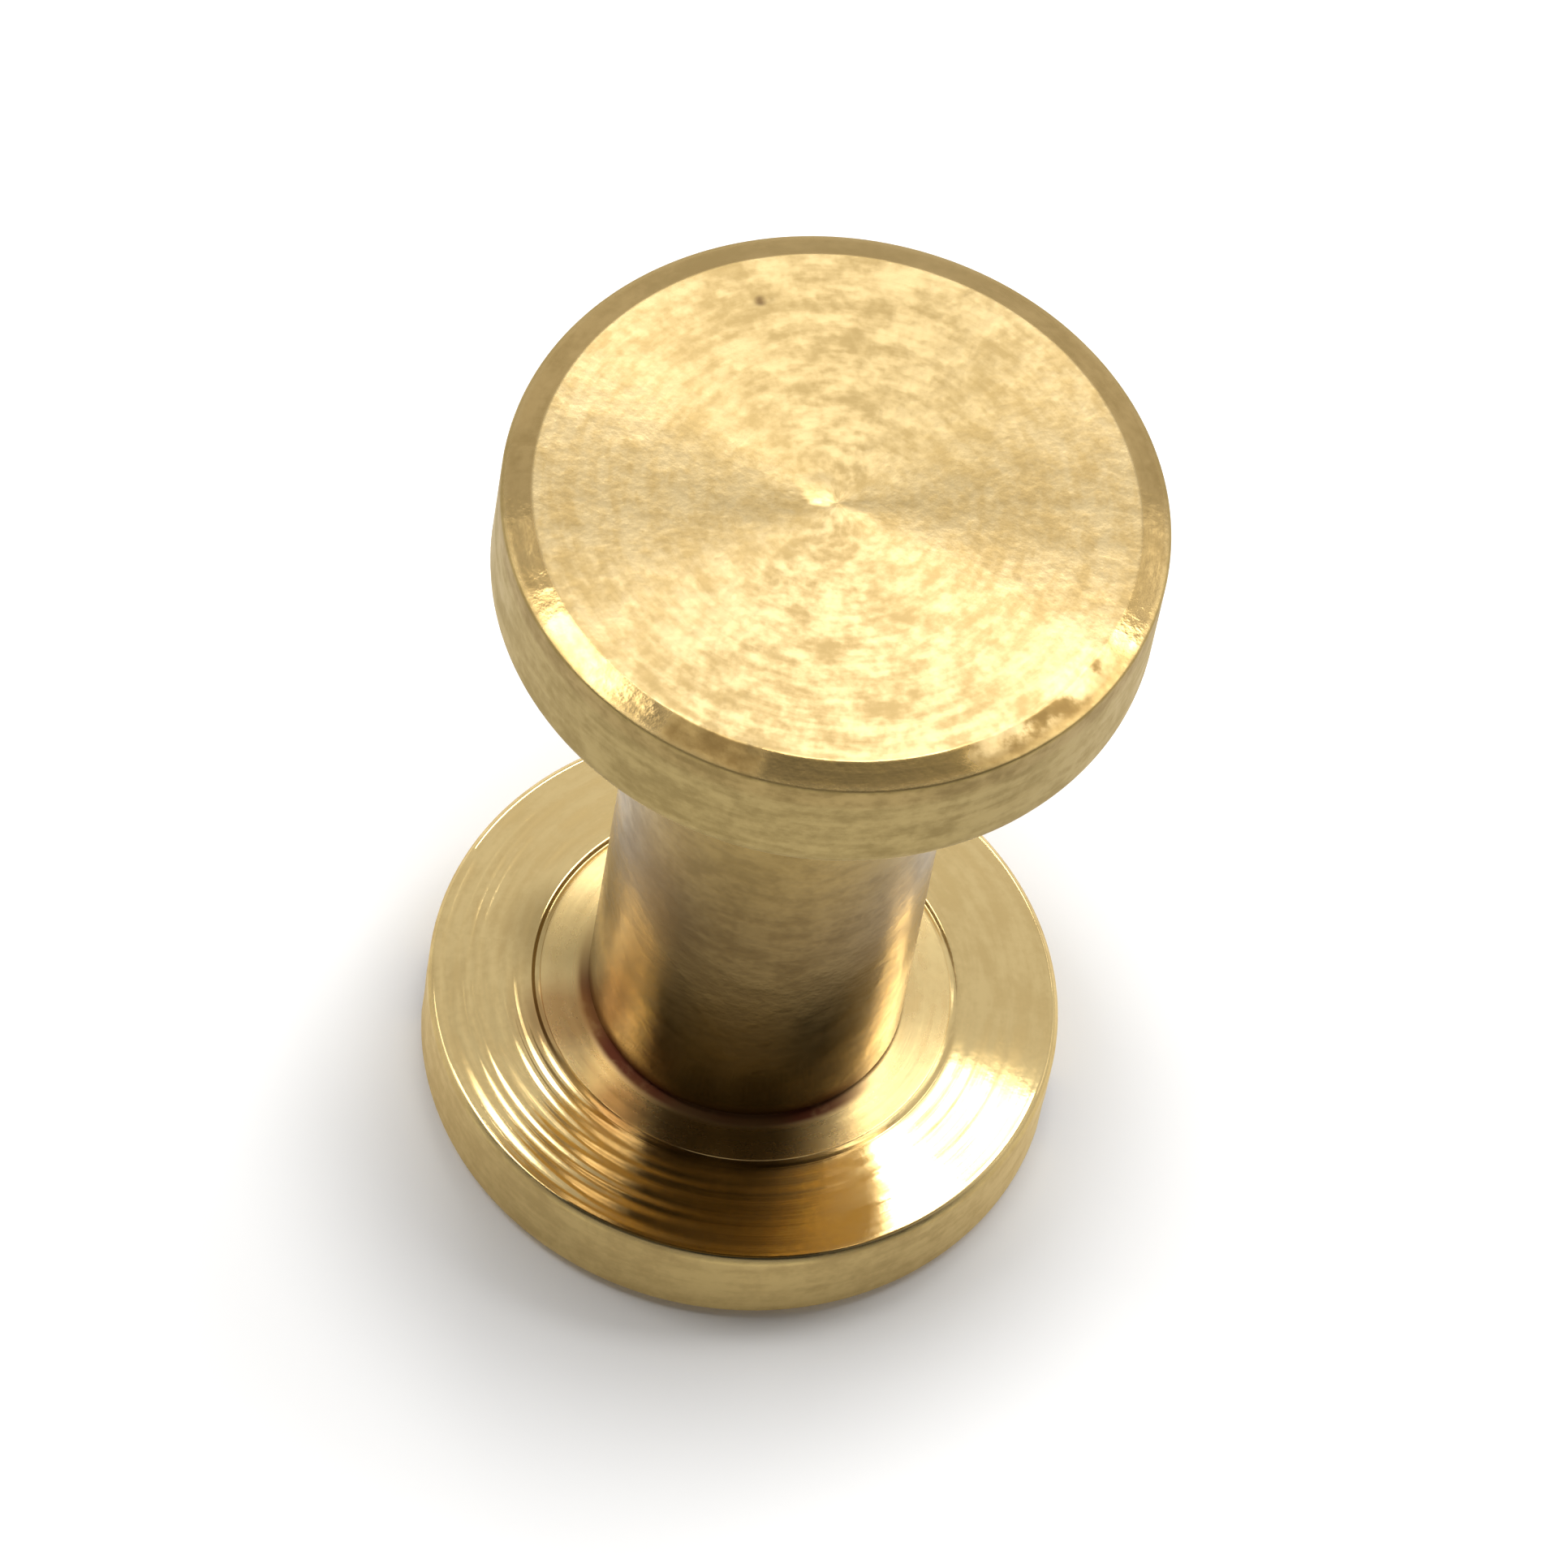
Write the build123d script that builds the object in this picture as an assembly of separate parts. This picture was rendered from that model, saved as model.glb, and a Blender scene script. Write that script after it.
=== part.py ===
from build123d import *
import math
import os

# Binding barrel screw: a slotted screw that turns into a headed, blind-tapped barrel.
# It stands on the screw's slotted face at z = 0, with the barrel's plain head on top.
# Millimetres, +Z up the common axis.

# Heads
head_diameter = 10.0
screw_head_thickness = 1.87
barrel_head_thickness = 2.15
head_edge_break = 0.08

# Chamfer round the outward face of each head
chamfer_width = 0.46
chamfer_height = 0.20

# Thread and barrel
thread_diameter = 4.0
thread_clearance = 0.05
barrel_wall = 0.45
grip_length = 11.3
head_root_fillet = 0.25
head_rim_fillet = 0.22

# Shank of the screw
shank_length = 6.5
run_out_length = 0.7
run_out_depth = 0.4
shank_tip_chamfer = 0.4

# Inner face of the screw head: a flat seat inside a turned groove, then a slight fall to the rim
seat_margin = 0.75
seat_groove_width = 0.16
seat_groove_depth = 0.05
inner_face_fall = 0.18

# Screwdriver slot
slot_width = 1.2
slot_floor = 0.92

# Bore of the barrel
tip_room = 1.0
tap_drill_allowance = 0.35
drill_lead = 1.2
drill_point_angle = 118.0
mouth_countersink = 0.08
mouth_edge_break = 0.12

head_radius = head_diameter / 2
shank_radius = thread_diameter / 2
bore_radius = shank_radius + thread_clearance
barrel_radius = bore_radius + barrel_wall
seat_radius = barrel_radius + seat_margin

seat_z = screw_head_thickness
shank_tip_z = seat_z + shank_length
barrel_underside_z = seat_z + grip_length
top_z = barrel_underside_z + barrel_head_thickness


def turned(profile):
    """Turn a closed profile, given as a face in radius and height, about Z."""
    return revolve(Plane.XZ * profile, Axis.Z)


def slotted_screw():
    """Slotted head with a grooved inner face, a run-out and the threaded shank."""
    rim_z = seat_z - inner_face_fall
    seat_groove_radius = seat_radius + seat_groove_width / 2
    run_out_radius = shank_radius - run_out_depth
    run_out_end_z = seat_z + run_out_length
    outline = Polyline(
        (0, 0),
        (head_radius - chamfer_width, 0),
        (head_radius, chamfer_height),
        (head_radius, rim_z - head_edge_break),
        (head_radius - head_edge_break, rim_z),
        (seat_radius + seat_groove_width, seat_z),
        (seat_groove_radius, seat_z - seat_groove_depth),
        (seat_radius, seat_z),
        (run_out_radius, seat_z),
        (run_out_radius, run_out_end_z),
        (shank_radius, run_out_end_z + run_out_depth),
        (shank_radius, shank_tip_z - shank_tip_chamfer),
        (shank_radius - shank_tip_chamfer, shank_tip_z),
        (0, shank_tip_z),
        close=True,
    )
    slot_depth = seat_z - slot_floor
    slot = Box(
        2 * head_diameter,
        slot_width,
        slot_depth,
        align=(Align.CENTER, Align.CENTER, Align.MIN),
    )
    return turned(make_face(outline)) - slot


def barrel_post():
    """Plain chamfered head on a tube with a blind tapped bore, open downwards."""
    drill_radius = bore_radius - tap_drill_allowance
    tapped_end_z = shank_tip_z + tip_room
    drill_end_z = tapped_end_z + drill_lead
    drill_tip_z = drill_end_z + drill_radius / math.tan(math.radians(drill_point_angle / 2))
    outline = Polyline(
        (0, drill_tip_z),
        (drill_radius, drill_end_z),
        (drill_radius, tapped_end_z),
        (bore_radius, tapped_end_z),
        (bore_radius, seat_z + mouth_countersink),
        (bore_radius + mouth_countersink, seat_z),
        (barrel_radius - mouth_edge_break, seat_z),
        (barrel_radius, seat_z + mouth_edge_break),
        (barrel_radius, barrel_underside_z),
        (head_radius, barrel_underside_z),
        (head_radius, top_z - chamfer_height),
        (head_radius - chamfer_width, top_z),
        (0, top_z),
        close=True,
    )
    profile = make_face(outline)
    for radius, size in ((barrel_radius, head_root_fillet), (head_radius, head_rim_fillet)):
        corner = profile.vertices().sort_by_distance((radius, barrel_underside_z))[0]
        profile = fillet(corner, size)
    return turned(profile)


os.makedirs("parts", exist_ok=True)
export_step(slotted_screw(), "parts/slotted_screw.step")
export_step(barrel_post(), "parts/barrel_post.step")
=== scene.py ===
import math
from collections import namedtuple
import bpy
from mathutils import Matrix, Vector, noise


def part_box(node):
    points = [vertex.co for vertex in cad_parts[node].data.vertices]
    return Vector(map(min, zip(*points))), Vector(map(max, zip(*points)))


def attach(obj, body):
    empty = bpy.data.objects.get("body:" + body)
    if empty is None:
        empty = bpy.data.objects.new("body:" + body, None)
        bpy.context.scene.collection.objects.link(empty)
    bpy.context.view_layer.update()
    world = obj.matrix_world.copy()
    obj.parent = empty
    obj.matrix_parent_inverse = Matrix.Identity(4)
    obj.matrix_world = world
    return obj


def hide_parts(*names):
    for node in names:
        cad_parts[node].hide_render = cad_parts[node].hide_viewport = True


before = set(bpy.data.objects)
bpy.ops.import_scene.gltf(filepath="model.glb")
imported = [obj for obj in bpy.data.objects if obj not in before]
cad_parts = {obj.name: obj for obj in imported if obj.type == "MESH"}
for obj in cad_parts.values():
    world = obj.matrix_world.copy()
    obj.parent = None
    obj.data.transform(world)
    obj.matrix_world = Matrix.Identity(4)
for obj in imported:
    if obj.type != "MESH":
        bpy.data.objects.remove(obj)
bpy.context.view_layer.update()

MM = 0.001
TINY = 1e-9

# Places read from the frame
screw_low, screw_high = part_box("slotted_screw")
barrel_low, barrel_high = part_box("barrel_post")
HEAD_RADIUS = (screw_high.x - screw_low.x) / 2
SEAT_Z = barrel_low.z
SHANK_TIP_Z = screw_high.z
TOP_Z = barrel_high.z

# Both heads
CHAMFER_WIDTH = 0.46 * MM
CHAMFER_HEIGHT = 0.20 * MM
EDGE_BREAK = 0.08 * MM
EDGE_ROUND = 0.05 * MM
SHARP_ROUND = 0.02 * MM

# A rounding takes at most this share of the stretches beside its corner
LONGEST_ROUNDING = 0.45
ROUNDING_STEPS = 5

# Screw
SEAT_RADIUS = 3.25 * MM
SEAT_GROOVE_WIDTH = 0.14 * MM
SEAT_GROOVE_DEPTH = 0.045 * MM
INNER_FACE_FALL = 0.18 * MM
SLOT_WIDTH = 1.2 * MM
SLOT_DEPTH = 0.95 * MM
SLOT_LIP = 0.05 * MM
SHANK_RADIUS = 2.0 * MM
RUN_OUT_RADIUS = 1.6 * MM
RUN_OUT_LENGTH = 0.7 * MM
SHANK_TIP_CHAMFER = 0.4 * MM
SHARP_ANGLE = math.radians(40)

# The seat's groove is worn shallow on one side. A span gives the cosines of the angle away from
# the middle of a side at which an effect starts and is full.
GROOVE_WEAR = 0.9
WORN_GROOVE_SIDE = math.radians(280)
WORN_GROOVE_SPAN = (-0.5, 0.6)

# Ring marks left by the lathe tool: their pitch and their height on each face. Headroom, in ring
# heights, keeps every mark below the face's own level.
RING_PITCH = 0.24 * MM
INNER_RING_HEIGHT = 0.010 * MM
SEAT_RING_HEIGHT = 0.001 * MM
TOP_RING_HEIGHT = 0.0012 * MM
RING_HEADROOM = 1.4

# Rings are deepest on one side and fade to a share elsewhere. They wander by up to some pitches
# and differ in strength; both patterns change along the radius, and slowly round the piece.
DEEP_RING_SIDE = math.radians(205)
DEEP_RING_SPAN = (0.30, 0.95)
FAINTEST_RING = 0.07
RING_WANDER = 1.2
WANDER_SCALE = 2.2 * RING_PITCH
WANDER_ROUND = 0.25
STRENGTH_MEAN = 0.8
STRENGTH_SWING = 0.9
STRENGTH_SCALE = 1.1 * RING_PITCH
STRENGTH_ROUND = 1.6
STRENGTH_SHIFT = 7

# Thread, right-handed. The flat is a share of half a pitch, at the crest and at the root.
PITCH = 0.7 * MM
THREAD_DEPTH = 0.38 * MM
THREAD_FLAT = 0.12
THREAD_GAP = 0.05 * MM
THREAD_FADE = 0.35 * MM

# Barrel
BARREL_RADIUS = 2.5 * MM
BARREL_HEAD = 2.15 * MM
ROOT_FILLET = 0.25 * MM
RIM_ROUND = 0.22 * MM
MOUTH_BREAK = 0.12 * MM
MOUTH_ROUND = 0.4 * MOUTH_BREAK
MOUTH_SINK = 0.08 * MM
TAPPED_ROOM = 1.0 * MM
DRILL_LEAD = 1.2 * MM
DRILL_RADIUS = 1.7 * MM
DRILL_HALF_ANGLE = math.radians(59)

# Top face of the barrel's head: a slight crown, the pip where it was parted off, a pit
TOP_CROWN = 0.02 * MM
PIP_PLACE = Vector((-0.28, 0.20, 0)) * MM
PIP_RADIUS = 0.34 * MM
PIP_TIP_RADIUS = 0.2 * PIP_RADIUS
PIP_HEIGHT = 0.025 * MM
PIT_PLACE = Vector((-1.71, 3.37, 0)) * MM
PIT_RADIUS = 0.11 * MM
PIT_DEPTH = 0.04 * MM

# Worn stretches of the top chamfer: middle, half span and depth. The wear reaches in over the
# top, and is full out to a share of the half span.
WORN_STRETCHES = (
    (math.radians(322), math.radians(17), 0.045 * MM),
    (math.radians(256), math.radians(9), 0.03 * MM),
)
WEAR_REACH = 0.32 * MM
WEAR_CORE = 0.6

# The worn edge is ragged: its mean and swing, as shares of the depth, and how fast it changes
RAGGED_MEAN = 0.55
RAGGED_SWING = 0.6
RAGGED_ROUND = 14
RAGGED_SCALE = 0.25 * MM
RAGGED_SHIFT = 1.7

# Meshing: points round a piece, and the longest step along its profile
SEGMENTS = 192
COARSE = 0.4 * MM
MEDIUM = 0.1 * MM
RIM_STEP = 0.05 * MM
SEAT_STEP = 0.0525 * MM
FINE = 0.035 * MM
THREAD_STEP = PITCH / 18

# The camera: how high it looks from, how far away it is and the lean that it gives the object.
# Lens and sensor are in millimetres.
CAMERA_ELEVATION = math.radians(56.4)
CAMERA_DISTANCE = 175 * MM
CAMERA_ROLL = math.radians(10.9)
CAMERA_LENS = 262
CAMERA_SENSOR = 36
CAMERA_NEAREST = 0.01


# ---------------------------------------------------------------- turned forms

def rounded_corner(before, here, after, size):
    """Points of a smooth curve that rounds one corner of a profile."""
    to_before = Vector(before) - Vector(here)
    to_after = Vector(after) - Vector(here)
    reach = min(size, LONGEST_ROUNDING * to_before.length, LONGEST_ROUNDING * to_after.length)
    start = Vector(here) + to_before.normalized() * reach
    end = Vector(here) + to_after.normalized() * reach
    points = []
    for step in range(ROUNDING_STEPS + 1):
        t = step / ROUNDING_STEPS
        point = start * (1 - t) ** 2 + Vector(here) * 2 * t * (1 - t) + end * t ** 2
        points.append((point.x, point.y))
    return points


def profile(corners):
    """Points along a profile. Each corner is (radius, height, rounding, step), where step is the
    longest step on the stretch after it."""
    points = []
    last = len(corners) - 1
    for index, (radius, height, rounding, step) in enumerate(corners):
        curve = [(radius, height)]
        if rounding and 0 < index < last:
            before = corners[index - 1][:2]
            after = corners[index + 1][:2]
            curve = rounded_corner(before, (radius, height), after, rounding)
        if points:
            start = points[-1]
            end = curve[0]
            longest_step = corners[index - 1][3]
            count = max(1, math.ceil(math.dist(start, end) / longest_step))
            for k in range(1, count):
                t = k / count
                points.append((start[0] + (end[0] - start[0]) * t, start[1] + (end[1] - start[1]) * t))
        points.extend(curve)
    return points


def lathe(name, path, shape):
    """Turns an open profile, from axis to axis, about Z. shape gives each point its place."""
    vertices = []
    rings = []
    for radius, height in path:
        count = 1 if radius < TINY else SEGMENTS
        rings.append(list(range(len(vertices), len(vertices) + count)))
        for k in range(count):
            vertices.append(shape(radius, height, 2 * math.pi * k / SEGMENTS))
    faces = []
    for low, high in zip(rings, rings[1:]):
        for k in range(SEGMENTS):
            n = (k + 1) % SEGMENTS
            if len(low) == 1:
                faces.append((low[0], high[n], high[k]))
            elif len(high) == 1:
                faces.append((low[k], low[n], high[0]))
            else:
                faces.append((low[k], low[n], high[n], high[k]))
    mesh = bpy.data.meshes.new(name)
    mesh.from_pydata(vertices, [], faces)
    mesh.validate()
    mesh.shade_smooth()
    piece = bpy.data.objects.new(name, mesh)
    bpy.context.scene.collection.objects.link(piece)
    return piece


def around(radius, height, angle):
    """The point at a radius, a height and an angle about Z."""
    return (radius * math.cos(angle), radius * math.sin(angle), height)


def eased(value, low, high):
    """0 up to low, 1 from high, with a smooth rise between them."""
    t = min(max((value - low) / (high - low), 0.0), 1.0)
    return t * t * (3 - 2 * t)


def thread_cut(height, angle, start, end):
    """How deep a right-hand thread is cut at a point, fading out at both ends."""
    turn = (height / PITCH - angle / (2 * math.pi)) % 1.0
    from_crest = abs(turn - 0.5) * 2
    share = min(max((from_crest - THREAD_FLAT) / (1 - 2 * THREAD_FLAT), 0.0), 1.0)
    fade = eased(height, start, start + THREAD_FADE) * (1 - eased(height, end - THREAD_FADE, end))
    return THREAD_DEPTH * share * fade


def ring_marks(radius, angle, size):
    """Height of the lathe's ring marks: one every pitch, each a little different, deepest on one
    side."""
    x = math.cos(angle)
    y = math.sin(angle)
    place = Vector((radius / WANDER_SCALE, WANDER_ROUND * x, WANDER_ROUND * y))
    rings = radius / RING_PITCH + RING_WANDER * noise.noise(place)
    place = Vector((radius / STRENGTH_SCALE, STRENGTH_ROUND * x + STRENGTH_SHIFT, STRENGTH_ROUND * y))
    strength = STRENGTH_MEAN + STRENGTH_SWING * noise.noise(place)
    deep = eased(math.cos(angle - DEEP_RING_SIDE), *DEEP_RING_SPAN)
    strength *= FAINTEST_RING + (1 - FAINTEST_RING) * deep
    return size * strength * math.sin(2 * math.pi * rings)


# ---------------------------------------------------------------- the screw

def screw_shape(radius, height, angle):
    """Thread on the shank; ring marks and the groove's wear on the head's inner face."""
    thread_start = SEAT_Z + RUN_OUT_LENGTH
    if height > thread_start:
        cut = thread_cut(height, angle, thread_start, SHANK_TIP_Z)
        return around(min(radius, SHANK_RADIUS - cut), height, angle)
    if radius > RUN_OUT_RADIUS and height > SEAT_Z - INNER_FACE_FALL - TINY:
        size = SEAT_RING_HEIGHT if radius < SEAT_RADIUS else INNER_RING_HEIGHT
        if SEAT_RADIUS < radius < SEAT_RADIUS + SEAT_GROOVE_WIDTH:
            worn = GROOVE_WEAR * eased(math.cos(angle - WORN_GROOVE_SIDE), *WORN_GROOVE_SPAN)
            height += worn * (SEAT_Z - height)
        height -= RING_HEADROOM * size + ring_marks(radius, angle, size)
    return around(radius, height, angle)


def make_screw():
    """The screw, from the middle of its outward face to the middle of its tip."""
    rim = SEAT_Z - INNER_FACE_FALL
    thread_start = SEAT_Z + RUN_OUT_LENGTH
    path = profile([
        (0, 0, 0, MEDIUM),
        (HEAD_RADIUS - CHAMFER_WIDTH, 0, EDGE_ROUND, MEDIUM),
        (HEAD_RADIUS, CHAMFER_HEIGHT, EDGE_ROUND, MEDIUM),
        (HEAD_RADIUS, rim - EDGE_BREAK, EDGE_ROUND, MEDIUM),
        (HEAD_RADIUS - EDGE_BREAK, rim, EDGE_ROUND, FINE),
        (SEAT_RADIUS + SEAT_GROOVE_WIDTH, SEAT_Z, SHARP_ROUND, FINE),
        (SEAT_RADIUS + SEAT_GROOVE_WIDTH / 2, SEAT_Z - SEAT_GROOVE_DEPTH, SHARP_ROUND, FINE),
        (SEAT_RADIUS, SEAT_Z, SHARP_ROUND, SEAT_STEP),
        (RUN_OUT_RADIUS, SEAT_Z, 0, MEDIUM),
        (RUN_OUT_RADIUS, thread_start, 0, THREAD_STEP),
        (SHANK_RADIUS, thread_start + SHANK_RADIUS - RUN_OUT_RADIUS, 0, THREAD_STEP),
        (SHANK_RADIUS, SHANK_TIP_Z - SHANK_TIP_CHAMFER, 0, THREAD_STEP),
        (SHANK_RADIUS - SHANK_TIP_CHAMFER, SHANK_TIP_Z, 0, MEDIUM),
        (0, SHANK_TIP_Z, 0, MEDIUM),
    ])
    piece = lathe("slotted_screw_turned", path, screw_shape)
    cut_slot(piece)
    return piece


def cut_slot(piece):
    """Cuts the screwdriver slot along X, with its lips slightly broken at the outer face."""
    below = 0.02 * MM
    reach = 1.2 * HEAD_RADIUS
    half = SLOT_WIDTH / 2
    section = [
        (-half - SLOT_LIP - below, -below),
        (half + SLOT_LIP + below, -below),
        (half, SLOT_LIP),
        (half, SLOT_DEPTH),
        (-half, SLOT_DEPTH),
        (-half, SLOT_LIP),
    ]
    vertices = [(x, y, z) for x in (-reach, reach) for y, z in section]
    count = len(section)
    faces = [tuple(range(count - 1, -1, -1)), tuple(range(count, 2 * count))]
    for k in range(count):
        n = (k + 1) % count
        faces.append((k, n, n + count, k + count))
    mesh = bpy.data.meshes.new("slot_cutter")
    mesh.from_pydata(vertices, [], faces)
    cutter = bpy.data.objects.new("slot_cutter", mesh)
    bpy.context.scene.collection.objects.link(cutter)
    boolean = piece.modifiers.new("slot", "BOOLEAN")
    boolean.object = cutter
    boolean.operation = "DIFFERENCE"
    boolean.solver = "EXACT"
    graph = bpy.context.evaluated_depsgraph_get()
    cut_mesh = bpy.data.meshes.new_from_object(piece.evaluated_get(graph))
    piece.modifiers.clear()
    piece.data = cut_mesh
    bpy.data.objects.remove(cutter)
    piece.data.set_sharp_from_angle(angle=SHARP_ANGLE)


# ---------------------------------------------------------------- the barrel

def chamfer_wear(radius, angle):
    """How much the top is worn down near its chamfer, ragged along the edge."""
    drop = 0.0
    inner_edge = HEAD_RADIUS - CHAMFER_WIDTH
    for middle, half_span, depth in WORN_STRETCHES:
        away = abs((angle - middle + math.pi) % (2 * math.pi) - math.pi)
        strength = 1 - eased(away, WEAR_CORE * half_span, half_span)
        place = Vector((RAGGED_ROUND * angle, radius / RAGGED_SCALE, RAGGED_SHIFT))
        ragged = RAGGED_MEAN + RAGGED_SWING * noise.noise(place)
        drop += depth * strength * max(ragged, 0) * eased(radius, inner_edge - WEAR_REACH, inner_edge)
    return drop


def barrel_shape(radius, height, angle):
    """Thread in the bore; crown, ring marks, pip, pit and worn edge on the head's top."""
    tapped_end = SHANK_TIP_Z + TAPPED_ROOM
    if radius < SHANK_RADIUS + 2 * THREAD_GAP and height < tapped_end:
        return around(radius - thread_cut(height, angle, SEAT_Z, tapped_end), height, angle)
    above_chamfer = (height - TOP_Z + CHAMFER_HEIGHT) / CHAMFER_HEIGHT
    if above_chamfer > 0:
        place = Vector(around(radius, 0, angle))
        drop = chamfer_wear(radius, angle)
        drop += PIP_HEIGHT * eased((place - PIP_PLACE).length, PIP_TIP_RADIUS, PIP_RADIUS)
        drop += TOP_CROWN * (radius / HEAD_RADIUS) ** 2
        drop += RING_HEADROOM * TOP_RING_HEIGHT + ring_marks(radius, angle, TOP_RING_HEIGHT)
        drop += PIT_DEPTH * (1 - eased((place - PIT_PLACE).length, 0, PIT_RADIUS))
        height -= above_chamfer * drop
    return around(radius, height, angle)


def make_barrel():
    """The barrel, from the point of its bore, out over its mouth and up to the middle of its top."""
    bore = SHANK_RADIUS + THREAD_GAP
    tapped_end = SHANK_TIP_Z + TAPPED_ROOM
    drill_end = tapped_end + DRILL_LEAD
    drill_tip = drill_end + DRILL_RADIUS / math.tan(DRILL_HALF_ANGLE)
    underside = TOP_Z - BARREL_HEAD
    path = profile([
        (0, drill_tip, 0, COARSE),
        (DRILL_RADIUS, drill_end, 0, COARSE),
        (DRILL_RADIUS, tapped_end, 0, COARSE),
        (bore, tapped_end, 0, THREAD_STEP),
        (bore, SEAT_Z + MOUTH_SINK, 0, MEDIUM),
        (bore + MOUTH_SINK, SEAT_Z, 0, MEDIUM),
        (BARREL_RADIUS - MOUTH_BREAK, SEAT_Z, 0, MEDIUM),
        (BARREL_RADIUS, SEAT_Z + MOUTH_BREAK, MOUTH_ROUND, COARSE),
        (BARREL_RADIUS, underside, ROOT_FILLET, MEDIUM),
        (HEAD_RADIUS, underside, RIM_ROUND, MEDIUM),
        (HEAD_RADIUS, TOP_Z - CHAMFER_HEIGHT, EDGE_ROUND, RIM_STEP),
        (HEAD_RADIUS - CHAMFER_WIDTH, TOP_Z, SHARP_ROUND, FINE),
        (0, TOP_Z, 0, FINE),
    ])
    return lathe("barrel_post_turned", path, barrel_shape)


# ---------------------------------------------------------------- materials

# Streaks run round a piece: how tightly they lie along its profile, and how often they break up
STREAKS_ALONG = 3.0
STREAKS_ROUND = 2.2

# Shares of the broad patches and of the fine grain in the tone, and the span of the tone that
# takes a finish from dull to bright
PATCH_SHARE = 0.25
GRAIN_SHARE = 0.18
TONE_SPAN = (0.40, 0.60)

# How far a zone's edges spread: in millimetres, and round its side as a share of the half span.
# A patchy zone is left only where the mottle is above this span, and fades out across it.
ZONE_SOFT = 0.04
SIDE_SOFT = 0.25
BLOTCH_SPAN = (0.38, 0.54)

# A spot is full out to this share of its radius
SPOT_CORE = 0.3

# Seam grime and painted shade is rough, and thins to a share where the mottle is below its span
GRIME_AND_SHADE_SPAN = (0.3, 0.5)
THINNEST_GRIME_AND_SHADE = 0.75
GRIME_AND_SHADE_ROUGHNESS = 0.6

# Fine turning marks run round each piece and spread reflections across themselves
ANISOTROPY = 0.85
ANISOTROPY_TURN = 0.25


class Nodes:
    """Short calls for building a node tree."""

    def __init__(self, tree):
        self.tree = tree
        tree.nodes.clear()

    def add(self, kind, **settings):
        """A new node of a kind, with its settings."""
        node = self.tree.nodes.new(kind)
        for key, value in settings.items():
            setattr(node, key, value)
        return node

    def feed(self, value, socket):
        """Gives a socket a colour, a number or another node's output."""
        if isinstance(value, tuple):
            socket.default_value = (*value, 1.0)
        elif isinstance(value, (int, float)):
            socket.default_value = value
        else:
            self.tree.links.new(value, socket)

    def math(self, operation, *values):
        node = self.add("ShaderNodeMath", operation=operation)
        for socket, value in zip(node.inputs, values):
            self.feed(value, socket)
        return node.outputs[0]

    def span(self, value, low, high, to_low=0.0, to_high=1.0):
        """value taken from low..high to to_low..to_high, eased at both ends."""
        node = self.add("ShaderNodeMapRange", interpolation_type="SMOOTHSTEP")
        self.feed(value, node.inputs["Value"])
        self.feed(low, node.inputs["From Min"])
        self.feed(high, node.inputs["From Max"])
        self.feed(to_low, node.inputs["To Min"])
        self.feed(to_high, node.inputs["To Max"])
        return node.outputs["Result"]

    def noise(self, vector, scale, detail=3.0, roughness=0.55):
        node = self.add("ShaderNodeTexNoise")
        self.feed(vector, node.inputs["Vector"])
        self.feed(scale, node.inputs["Scale"])
        self.feed(detail, node.inputs["Detail"])
        self.feed(roughness, node.inputs["Roughness"])
        return node.outputs["Fac"]

    def mix(self, factor, a, b, kind="RGBA"):
        """a where the factor is 0 and b where it is 1. kind is RGBA for colours, FLOAT for numbers."""
        node = self.add("ShaderNodeMix", data_type=kind)
        for name, value in (("Factor", factor), ("A", a), ("B", b)):
            self.feed(value, next(s for s in node.inputs if s.name == name and s.enabled))
        return next(s for s in node.outputs if s.enabled)

    def bump(self, height, distance, normal=None):
        """A normal that gives the look of a relief, laid over another normal if there is one."""
        node = self.add("ShaderNodeBump")
        node.inputs["Distance"].default_value = distance
        self.feed(height, node.inputs["Height"])
        if normal is not None:
            self.feed(normal, node.inputs["Normal"])
        return node.outputs[0]


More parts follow.
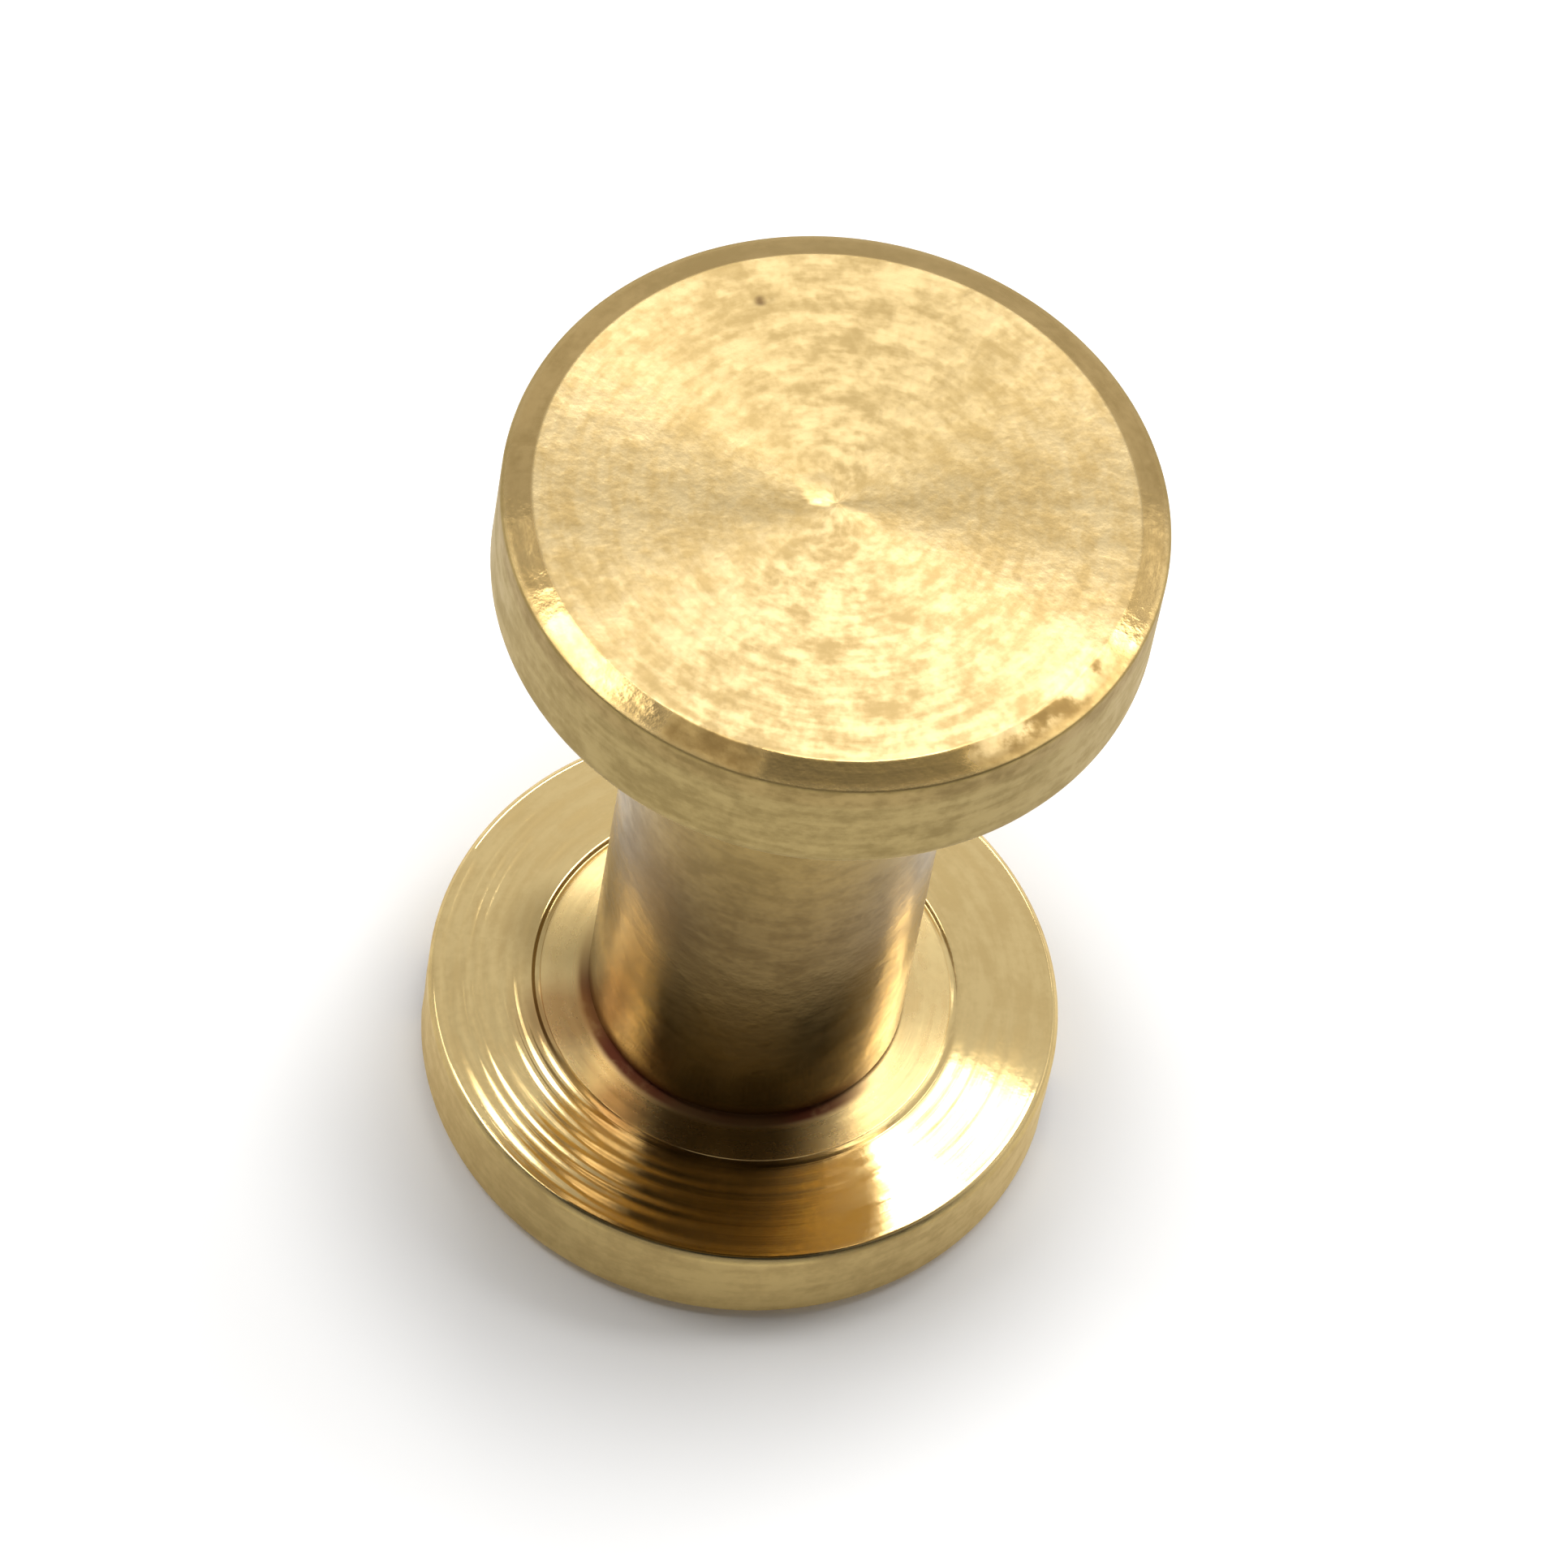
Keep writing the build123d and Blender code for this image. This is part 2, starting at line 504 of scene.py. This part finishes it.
class Places:
    """A turned piece's coordinates in millimetres, and the patterns that every zone shares."""

    def __init__(self, n):
        self.n = n
        scaled = n.add("ShaderNodeVectorMath", operation="SCALE")
        n.feed(n.add("ShaderNodeTexCoord").outputs["Object"], scaled.inputs[0])
        scaled.inputs["Scale"].default_value = 1 / MM
        self.point = scaled.outputs[0]
        split = n.add("ShaderNodeSeparateXYZ")
        n.feed(self.point, split.inputs[0])
        x, y, self.height = split.outputs
        self.radius = n.math("SQRT", n.math("ADD", n.math("MULTIPLY", x, x), n.math("MULTIPLY", y, y)))
        self.angle = n.math("ARCTAN2", y, x)
        self.along = n.math("ADD", self.radius, self.height)
        polar = n.add("ShaderNodeCombineXYZ")
        n.feed(n.math("MULTIPLY", self.along, STREAKS_ALONG), polar.inputs[0])
        n.feed(n.math("MULTIPLY", self.angle, STREAKS_ROUND), polar.inputs[1])
        self.streaks = n.noise(polar.outputs[0], scale=1.6)
        self.mottle = n.noise(self.point, scale=1.9, detail=4.0)
        self.patches = n.noise(self.point, scale=0.6, detail=2.0)
        self.grain = n.noise(self.point, scale=7.0, detail=2.0)
        rings = n.add("ShaderNodeTexNoise", noise_dimensions="1D")
        n.feed(self.along, rings.inputs["W"])
        n.feed(7.0, rings.inputs["Scale"])
        n.feed(4.0, rings.inputs["Detail"])
        self.rings = rings.outputs["Fac"]

    def within(self, radius=None, height=None, side=None, patchy=False, soft=ZONE_SOFT):
        """1 where the radius and the height lie in the given (low, high) ranges, and the angle
        within side, a (middle, half span). patchy leaves only blotches of it, and soft is how
        far the edges spread to either side, in millimetres."""
        mask = 1.0
        for value, limits in ((self.radius, radius), (self.height, height)):
            if limits is None:
                continue
            low, high = (limit / MM for limit in limits)
            rise = self.n.span(value, low - soft, low + soft)
            fall = self.n.span(value, high - soft, high + soft, 1.0, 0.0)
            mask = self.n.math("MULTIPLY", mask, self.n.math("MULTIPLY", rise, fall))
        if side is not None:
            middle, half_span = side
            towards = self.n.math("COSINE", self.n.math("SUBTRACT", self.angle, middle))
            start = math.cos((1 + SIDE_SOFT) * half_span)
            full = math.cos((1 - SIDE_SOFT) * half_span)
            mask = self.n.math("MULTIPLY", mask, self.n.span(towards, start, full))
        if patchy:
            mask = self.n.math("MULTIPLY", mask, self.n.span(self.mottle, *BLOTCH_SPAN))
        return mask

    def spot(self, place, radius):
        """1 at a place on the piece, falling to 0 at the radius."""
        away = self.n.add("ShaderNodeVectorMath", operation="DISTANCE")
        self.n.feed(self.point, away.inputs[0])
        away.inputs[1].default_value = place / MM
        edge = radius / MM
        return self.n.span(away.outputs["Value"], SPOT_CORE * edge, edge, 1.0, 0.0)


def look(n, places, finish):
    """Colour and roughness of one finish."""
    tone = n.mix(finish.streaked, places.mottle, places.streaks, "FLOAT")
    tone = n.mix(PATCH_SHARE, tone, places.patches, "FLOAT")
    tone = n.mix(GRAIN_SHARE, tone, places.grain, "FLOAT")
    tone = n.span(tone, *TONE_SPAN)
    colour = n.mix(tone, finish.dull, finish.bright)
    roughness = n.mix(tone, finish.rough, finish.smooth, "FLOAT")
    return colour, roughness


def brass(name, base, zones, grime_and_shade, spots, ring_zone, ring_relief, mottle_relief):
    """Turned brass. The base finish has zones of (limits, finish) laid over it in turn, then seam
    grime and painted shade of (limits, colour), then spots of (place, radius, strength, colour), some
    of them painted shade. Reliefs are in metres."""
    material = bpy.data.materials.new(name)
    material.use_nodes = True
    n = Nodes(material.node_tree)
    places = Places(n)
    colour, roughness = look(n, places, base)
    for limits, finish in zones:
        mask = places.within(**limits)
        zone_colour, zone_roughness = look(n, places, finish)
        colour = n.mix(mask, colour, zone_colour)
        roughness = n.mix(mask, roughness, zone_roughness, "FLOAT")
    for limits, grime_and_shade_colour in grime_and_shade:
        spread = n.span(places.mottle, *GRIME_AND_SHADE_SPAN, THINNEST_GRIME_AND_SHADE, 1.0)
        mask = n.math("MULTIPLY", places.within(**limits), spread)
        colour = n.mix(mask, colour, grime_and_shade_colour)
        roughness = n.mix(mask, roughness, GRIME_AND_SHADE_ROUGHNESS, "FLOAT")
    for place, radius, strength, spot_colour in spots:
        colour = n.mix(n.math("MULTIPLY", places.spot(place, radius), strength), colour, spot_colour)
    shader = n.add("ShaderNodeBsdfPrincipled")
    shader.inputs["Metallic"].default_value = 1.0
    shader.inputs["Anisotropic"].default_value = ANISOTROPY
    shader.inputs["Anisotropic Rotation"].default_value = ANISOTROPY_TURN
    tangent = n.add("ShaderNodeTangent", direction_type="RADIAL", axis="Z")
    n.feed(tangent.outputs[0], shader.inputs["Tangent"])
    n.feed(colour, shader.inputs["Base Color"])
    n.feed(roughness, shader.inputs["Roughness"])
    rings = n.math("MULTIPLY", places.rings, places.within(**ring_zone))
    ringed = n.bump(rings, ring_relief)
    n.feed(n.bump(places.mottle, mottle_relief, ringed), shader.inputs["Normal"])
    output = n.add("ShaderNodeOutputMaterial")
    n.feed(shader.outputs[0], output.inputs["Surface"])
    return material


# ---------------------------------------------------------------- stage

# The paper, with half the side of its square in metres
PAPER_REACH = 1.5
PAPER_COLOUR = (0.92, 0.915, 0.905)
PAPER_ROUGHNESS = 0.8

# How much the paper is lifted towards white away from the object, and where the lift starts and is
# full. It starts sooner at the sides, by the aspect. Near the object the lift is left out, which
# paints shade round it beyond its own shadow.
FLOOR_LIFT = 0.38
LIFT_START = HEAD_RADIUS - 0.5 * MM
LIFT_END = HEAD_RADIUS + 4.6 * MM
LIFT_ASPECT = (1.12, 1, 1)

# Brightness of the room on the side that the object is looked at from, lower down on that side,
# at the sides and at the back. The spans are how far towards the back a direction points, from -1
# to 1, where one brightness turns into the next.
ROOM_FRONT = 0.015
ROOM_LOW_FRONT = 0.42
ROOM_SIDES = 0.48
ROOM_BACK = 0.72
LOW_FRONT_SPAN = (-0.85, -0.52)
SIDES_SPAN = (-0.40, 0.16)
BACK_SPAN = (0.1, 0.95)

# Level lamps: name, place, width, depth, radiance
LAMPS = (
    ("right", (0.40, 0.31, 0.72), 0.46, 0.22, 6.5),
    ("left", (-0.40, 0.045, 0.70), 0.29, 0.30, 5.0),
    ("overhead", (0.03, 0.30, 0.80), 0.28, 0.14, 13.5),
    ("far_right", (0.78, 0.70, 0.72), 0.36, 0.36, 1.3),
    ("far_left", (-0.78, 0.22, 0.72), 0.40, 0.40, 1.7),
)


def make_floor():
    """Pale paper. What the camera and the metal see of it is lifted to white, its shadow kept."""
    corners = [(PAPER_REACH * x, PAPER_REACH * y, 0) for x, y in ((-1, -1), (1, -1), (1, 1), (-1, 1))]
    mesh = bpy.data.meshes.new("floor")
    mesh.from_pydata(corners, [], [(0, 1, 2, 3)])
    floor = bpy.data.objects.new("floor", mesh)
    bpy.context.scene.collection.objects.link(floor)
    material = bpy.data.materials.new("floor_paper")
    material.use_nodes = True
    n = Nodes(material.node_tree)
    shader = n.add("ShaderNodeBsdfPrincipled")
    shader.inputs["Base Color"].default_value = (*PAPER_COLOUR, 1)
    shader.inputs["Roughness"].default_value = PAPER_ROUGHNESS
    shader.inputs["Emission Color"].default_value = (1, 1, 1, 1)
    path = n.add("ShaderNodeLightPath")
    seen = n.math("MAXIMUM", path.outputs["Is Camera Ray"], path.outputs["Is Glossy Ray"])
    seen = n.math("MAXIMUM", seen, path.outputs["Is Transmission Ray"])
    stretched = n.add("ShaderNodeVectorMath", operation="MULTIPLY")
    n.feed(n.add("ShaderNodeTexCoord").outputs["Object"], stretched.inputs[0])
    stretched.inputs[1].default_value = LIFT_ASPECT
    away = n.add("ShaderNodeVectorMath", operation="LENGTH")
    n.feed(stretched.outputs[0], away.inputs[0])
    lift = n.span(away.outputs["Value"], LIFT_START, LIFT_END, 0.0, FLOOR_LIFT)
    n.feed(n.math("MULTIPLY", seen, lift), shader.inputs["Emission Strength"])
    output = n.add("ShaderNodeOutputMaterial")
    n.feed(shader.outputs[0], output.inputs["Surface"])
    floor.data.materials.append(material)


def softbox(name, place, width, depth, radiance):
    """A level rectangular lamp of even brightness that faces down."""
    data = bpy.data.lights.new(name, "AREA")
    data.shape = "RECTANGLE"
    data.size = width
    data.size_y = depth
    data.energy = radiance * math.pi * width * depth
    lamp = bpy.data.objects.new(name, data)
    bpy.context.scene.collection.objects.link(lamp)
    lamp.location = place


def make_world():
    """A dim room: pale behind the object, nearly dark on the side that it is looked at from."""
    world = bpy.data.worlds.new("room")
    world.use_nodes = True
    bpy.context.scene.world = world
    n = Nodes(world.node_tree)
    split = n.add("ShaderNodeSeparateXYZ")
    n.feed(n.add("ShaderNodeTexCoord").outputs["Generated"], split.inputs[0])
    to_back = split.outputs[1]
    low_front = n.span(to_back, *LOW_FRONT_SPAN, ROOM_LOW_FRONT, 0.0)
    front_half = n.span(to_back, *SIDES_SPAN, ROOM_FRONT, ROOM_SIDES)
    back_half = n.span(to_back, *BACK_SPAN, 0.0, ROOM_BACK - ROOM_SIDES)
    background = n.add("ShaderNodeBackground")
    background.inputs["Color"].default_value = (1, 1, 1, 1)
    front = n.math("ADD", low_front, front_half)
    n.feed(n.math("ADD", front, back_half), background.inputs["Strength"])
    output = n.add("ShaderNodeOutputWorld")
    n.feed(background.outputs[0], output.inputs["Surface"])


def make_camera():
    """A camera that looks down at the middle of the object, leaning to one side."""
    aim = Vector((0, 0, TOP_Z / 2))
    back = Vector((0, -math.cos(CAMERA_ELEVATION), math.sin(CAMERA_ELEVATION)))
    right = Vector((1, 0, 0))
    up = back.cross(right)
    cosine = math.cos(CAMERA_ROLL)
    sine = math.sin(CAMERA_ROLL)
    rolled_right = right * cosine + up * sine
    rolled_up = up * cosine - right * sine
    data = bpy.data.cameras.new("camera")
    data.lens = CAMERA_LENS
    data.sensor_width = CAMERA_SENSOR
    data.clip_start = CAMERA_NEAREST
    camera = bpy.data.objects.new("camera", data)
    bpy.context.scene.collection.objects.link(camera)
    turn = Matrix((rolled_right, rolled_up, back)).transposed().to_4x4()
    camera.matrix_world = Matrix.Translation(aim + back * CAMERA_DISTANCE) @ turn
    bpy.context.scene.camera = camera


# ---------------------------------------------------------------- assembly

def dress(piece, node, body, material):
    """Gives a piece its material and the body it rides on, and hides the node that it stands for."""
    piece.data.materials.clear()
    piece.data.materials.append(material)
    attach(piece, body)
    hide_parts(node)


# A finish: its colour and roughness where it is bright and where it is dull. streaked is how much
# of the tone runs round the piece in streaks, against blotches.
Finish = namedtuple("Finish", "bright dull smooth rough streaked")
PALE_FACE = Finish((0.80, 0.61, 0.31), (0.62, 0.44, 0.185), 0.38, 0.49, 0.5)
BROWN_EDGE = Finish((0.34, 0.23, 0.085), (0.24, 0.15, 0.05), 0.34, 0.42, 0.2)
KHAKI_WALL = Finish((0.46, 0.342, 0.134), (0.38, 0.276, 0.102), 0.38, 0.48, 0.5)
# Painted shade: the head's wall darker just under the top chamfer
SHADED_UPPER_WALL = Finish((0.42, 0.295, 0.11), (0.32, 0.22, 0.077), 0.38, 0.48, 0.4)
KHAKI_RIM = Finish((0.66, 0.49, 0.20), (0.55, 0.395, 0.16), 0.38, 0.48, 0.5)
BROWN_CHAMFER = Finish((0.66, 0.46, 0.19), (0.50, 0.34, 0.13), 0.14, 0.22, 0.6)
# Painted shade: the top chamfer darker on the side the object is looked at from
SHADED_FRONT_CHAMFER = Finish((0.46, 0.315, 0.12), (0.35, 0.235, 0.085), 0.14, 0.20, 0.6)
TUBE = Finish((0.39, 0.27, 0.09), (0.30, 0.205, 0.066), 0.16, 0.22, 0.4)
# Painted shade under the barrel's head
SHADED_UNDERSIDE = Finish((0.38, 0.27, 0.10), (0.27, 0.18, 0.06), 0.30, 0.40, 0.5)
# Painted shade: the barrel darker towards its foot
SHADED_TUBE_FOOT = Finish((0.27, 0.18, 0.063), (0.20, 0.127, 0.042), 0.16, 0.22, 0.4)
POLISHED_FACE = Finish((0.96, 0.72, 0.33), (0.80, 0.58, 0.25), 0.10, 0.17, 0.8)
SEAT_FACE = Finish((0.94, 0.71, 0.33), (0.84, 0.61, 0.27), 0.26, 0.28, 0.8)

# Colours of grime, tarnish and painted shade
# Reddish grime in the seam at the barrel's foot, deepened by painted shade
SEAM_GRIME_AND_SHADE = (0.20, 0.06, 0.03)
# Darker in and round the pit on the barrel's top
PIT_DARKENING = (0.20, 0.12, 0.05)
BROWN_TARNISH = (0.38, 0.19, 0.06)
# Dark tarnish with painted shade, on the front of the screw's inner face where it mirrors the barrel
DARK_TARNISH_AND_SHADE = (0.20, 0.12, 0.045)
# Dull tarnish with painted shade, on the back of the barrel's top and the left of the seat
DULL_TARNISH_AND_SHADE = (0.42, 0.30, 0.12)
# Painted shade that dims the left side of the barrel
TUBE_PAINTED_SHADE = (0.12, 0.07, 0.02)

# Where zones lie: ranges of radius, ranges of height, and sides as (middle, half span)
UNDERSIDE_Z = TOP_Z - BARREL_HEAD
WALL_RADII = (HEAD_RADIUS - 0.05 * MM, 2 * HEAD_RADIUS)
CHAMFER_RADII = (HEAD_RADIUS - CHAMFER_WIDTH, 2 * HEAD_RADIUS)
INNER_CHAMFER = (0, HEAD_RADIUS - 0.45 * CHAMFER_WIDTH)
SEAT_RADII = (BARREL_RADIUS, SEAT_RADIUS)
INNER_FACE_RADII = (BARREL_RADIUS, HEAD_RADIUS)
TOP_RADII = (0, HEAD_RADIUS)
NEAR_BARREL = (0, BARREL_RADIUS + 0.16 * MM)
TUBE_RADII = (0, BARREL_RADIUS + 0.3 * MM)
UNDERSIDE_RADII = (0, HEAD_RADIUS - RIM_ROUND)
FOOT_HEIGHTS = (-1 * MM, 0.02 * MM)
SEAT_HEIGHTS = (SEAT_Z - 0.1 * MM, SEAT_Z + 0.1 * MM)
INNER_FACE_HEIGHTS = (SEAT_Z - 0.4 * MM, SEAT_Z + 0.1 * MM)
MOUTH_HEIGHTS = (0, SEAT_Z + 0.05 * MM)
TUBE_HEIGHTS = (0, UNDERSIDE_Z)
SHADED_TUBE_FOOT_HEIGHTS = (-5 * MM, SEAT_Z + 6.6 * MM)
UNDERSIDE_HEIGHTS = (UNDERSIDE_Z - ROOT_FILLET, UNDERSIDE_Z + 0.1 * MM)
SHADED_WALL_HEIGHTS = (TOP_Z - 0.6 * MM, TOP_Z - CHAMFER_HEIGHT)
CHAMFER_HEIGHTS = (TOP_Z - 0.95 * CHAMFER_HEIGHT, TOP_Z - 0.08 * CHAMFER_HEIGHT)
TOP_HEIGHTS = (TOP_Z - 0.3 * MM, TOP_Z + 0.1 * MM)
# The side on which the seam carries grime and painted shade
SEAM_SHADE_SIDE = (math.radians(250), math.radians(72))
# The side on which the top chamfer carries painted shade
SHADED_CHAMFER_SIDE = (math.radians(286), math.radians(29))
WORN_SIDES = [(middle, half_span) for middle, half_span, depth in WORN_STRETCHES]
CHAMFER = dict(radius=CHAMFER_RADII, height=CHAMFER_HEIGHTS)


def on_ring(radius, degrees, height):
    """A place on a piece, from its radius, the direction and the height."""
    return Vector(around(radius, height, math.radians(degrees)))


screw_material = brass(
    "turned_brass", POLISHED_FACE,
    zones=[
        (dict(radius=WALL_RADII), KHAKI_RIM),
        (dict(height=FOOT_HEIGHTS), PALE_FACE),
        (dict(radius=SEAT_RADII, height=SEAT_HEIGHTS), SEAT_FACE),
    ],
    # Grime and painted shade in the seam round the barrel's foot
    grime_and_shade=[(dict(radius=NEAR_BARREL, height=SEAT_HEIGHTS, side=SEAM_SHADE_SIDE, soft=0.08), SEAM_GRIME_AND_SHADE)],
    spots=[
        # Dark tarnish and painted shade on the front of the inner face
        (on_ring(3.5 * MM, 272, SEAT_Z), 1.9 * MM, 0.4, DARK_TARNISH_AND_SHADE),
        (on_ring(3.0 * MM, 204, SEAT_Z), 1.0 * MM, 0.7, BROWN_TARNISH),
        # Dull tarnish and painted shade on the left of the seat
        (on_ring(2.9 * MM, 174, SEAT_Z), 1.3 * MM, 0.65, DULL_TARNISH_AND_SHADE),
        (on_ring(3.1 * MM, 240, SEAT_Z), 0.7 * MM, 0.7, BROWN_TARNISH),
        # Painted shade on the front of the seat
        (on_ring(2.9 * MM, 260, SEAT_Z), 0.9 * MM, 0.7, DARK_TARNISH_AND_SHADE),
        (on_ring(2.9 * MM, 283, SEAT_Z), 0.9 * MM, 0.7, DARK_TARNISH_AND_SHADE),
    ],
    ring_zone=dict(radius=INNER_FACE_RADII, height=INNER_FACE_HEIGHTS),
    ring_relief=0.002 * MM, mottle_relief=0.002 * MM)
barrel_material = brass(
    "aged_brass", PALE_FACE,
    zones=[
        (dict(radius=WALL_RADII), KHAKI_WALL),
        (dict(radius=TUBE_RADII, height=TUBE_HEIGHTS), TUBE),
        # Painted shade, darkening the barrel towards its foot
        (dict(height=SHADED_TUBE_FOOT_HEIGHTS, soft=2.0), SHADED_TUBE_FOOT),
        # Painted shade under the head
        (dict(radius=UNDERSIDE_RADII, height=UNDERSIDE_HEIGHTS), SHADED_UNDERSIDE),
        (CHAMFER, BROWN_CHAMFER),
        # Painted shade on the front of the chamfer
        (dict(CHAMFER, side=SHADED_CHAMFER_SIDE), SHADED_FRONT_CHAMFER),
        (dict(CHAMFER, side=WORN_SIDES[0]), BROWN_EDGE),
        (dict(CHAMFER, side=WORN_SIDES[1]), BROWN_EDGE),
        (dict(CHAMFER, radius=INNER_CHAMFER, side=WORN_SIDES[0], patchy=True, soft=0.12), PALE_FACE),
        # Painted shade on the wall just under the chamfer
        (dict(radius=WALL_RADII, height=SHADED_WALL_HEIGHTS, soft=0.12), SHADED_UPPER_WALL),
    ],
    # Grime and painted shade in the seam round the barrel's mouth
    grime_and_shade=[(dict(radius=NEAR_BARREL, height=MOUTH_HEIGHTS, side=SEAM_SHADE_SIDE, soft=0.05), SEAM_GRIME_AND_SHADE)],
    spots=[
        # Dull tarnish and painted shade over the back of the top
        (on_ring(2.6 * MM, 100, TOP_Z), 4.5 * MM, 0.42, DULL_TARNISH_AND_SHADE),
        # Darker in and round the pit
        (Vector((PIT_PLACE.x, PIT_PLACE.y, TOP_Z)), 1.2 * PIT_RADIUS, 1.0, PIT_DARKENING),
        # Painted shade dimming the left side of the barrel
        (on_ring(BARREL_RADIUS, 226, 6.8 * MM), 1.5 * MM, 0.6, TUBE_PAINTED_SHADE),
        (on_ring(BARREL_RADIUS, 219, 5.3 * MM), 0.8 * MM, 0.6, TUBE_PAINTED_SHADE),
        (on_ring(BARREL_RADIUS, 208, 4.6 * MM), 1.1 * MM, 0.5, TUBE_PAINTED_SHADE),
        (on_ring(BARREL_RADIUS, 228, 3.0 * MM), 0.9 * MM, 0.5, TUBE_PAINTED_SHADE),
        (on_ring(BARREL_RADIUS, 200, 2.9 * MM), 1.1 * MM, 0.7, TUBE_PAINTED_SHADE),
    ],
    ring_zone=dict(radius=TOP_RADII, height=TOP_HEIGHTS),
    ring_relief=0.002 * MM, mottle_relief=0.012 * MM)
dress(make_screw(), "slotted_screw", "screw", screw_material)
dress(make_barrel(), "barrel_post", "barrel", barrel_material)

make_floor()
make_world()
for lamp in LAMPS:
    softbox(*lamp)
make_camera()
bpy.context.scene.view_settings.view_transform = "Standard"
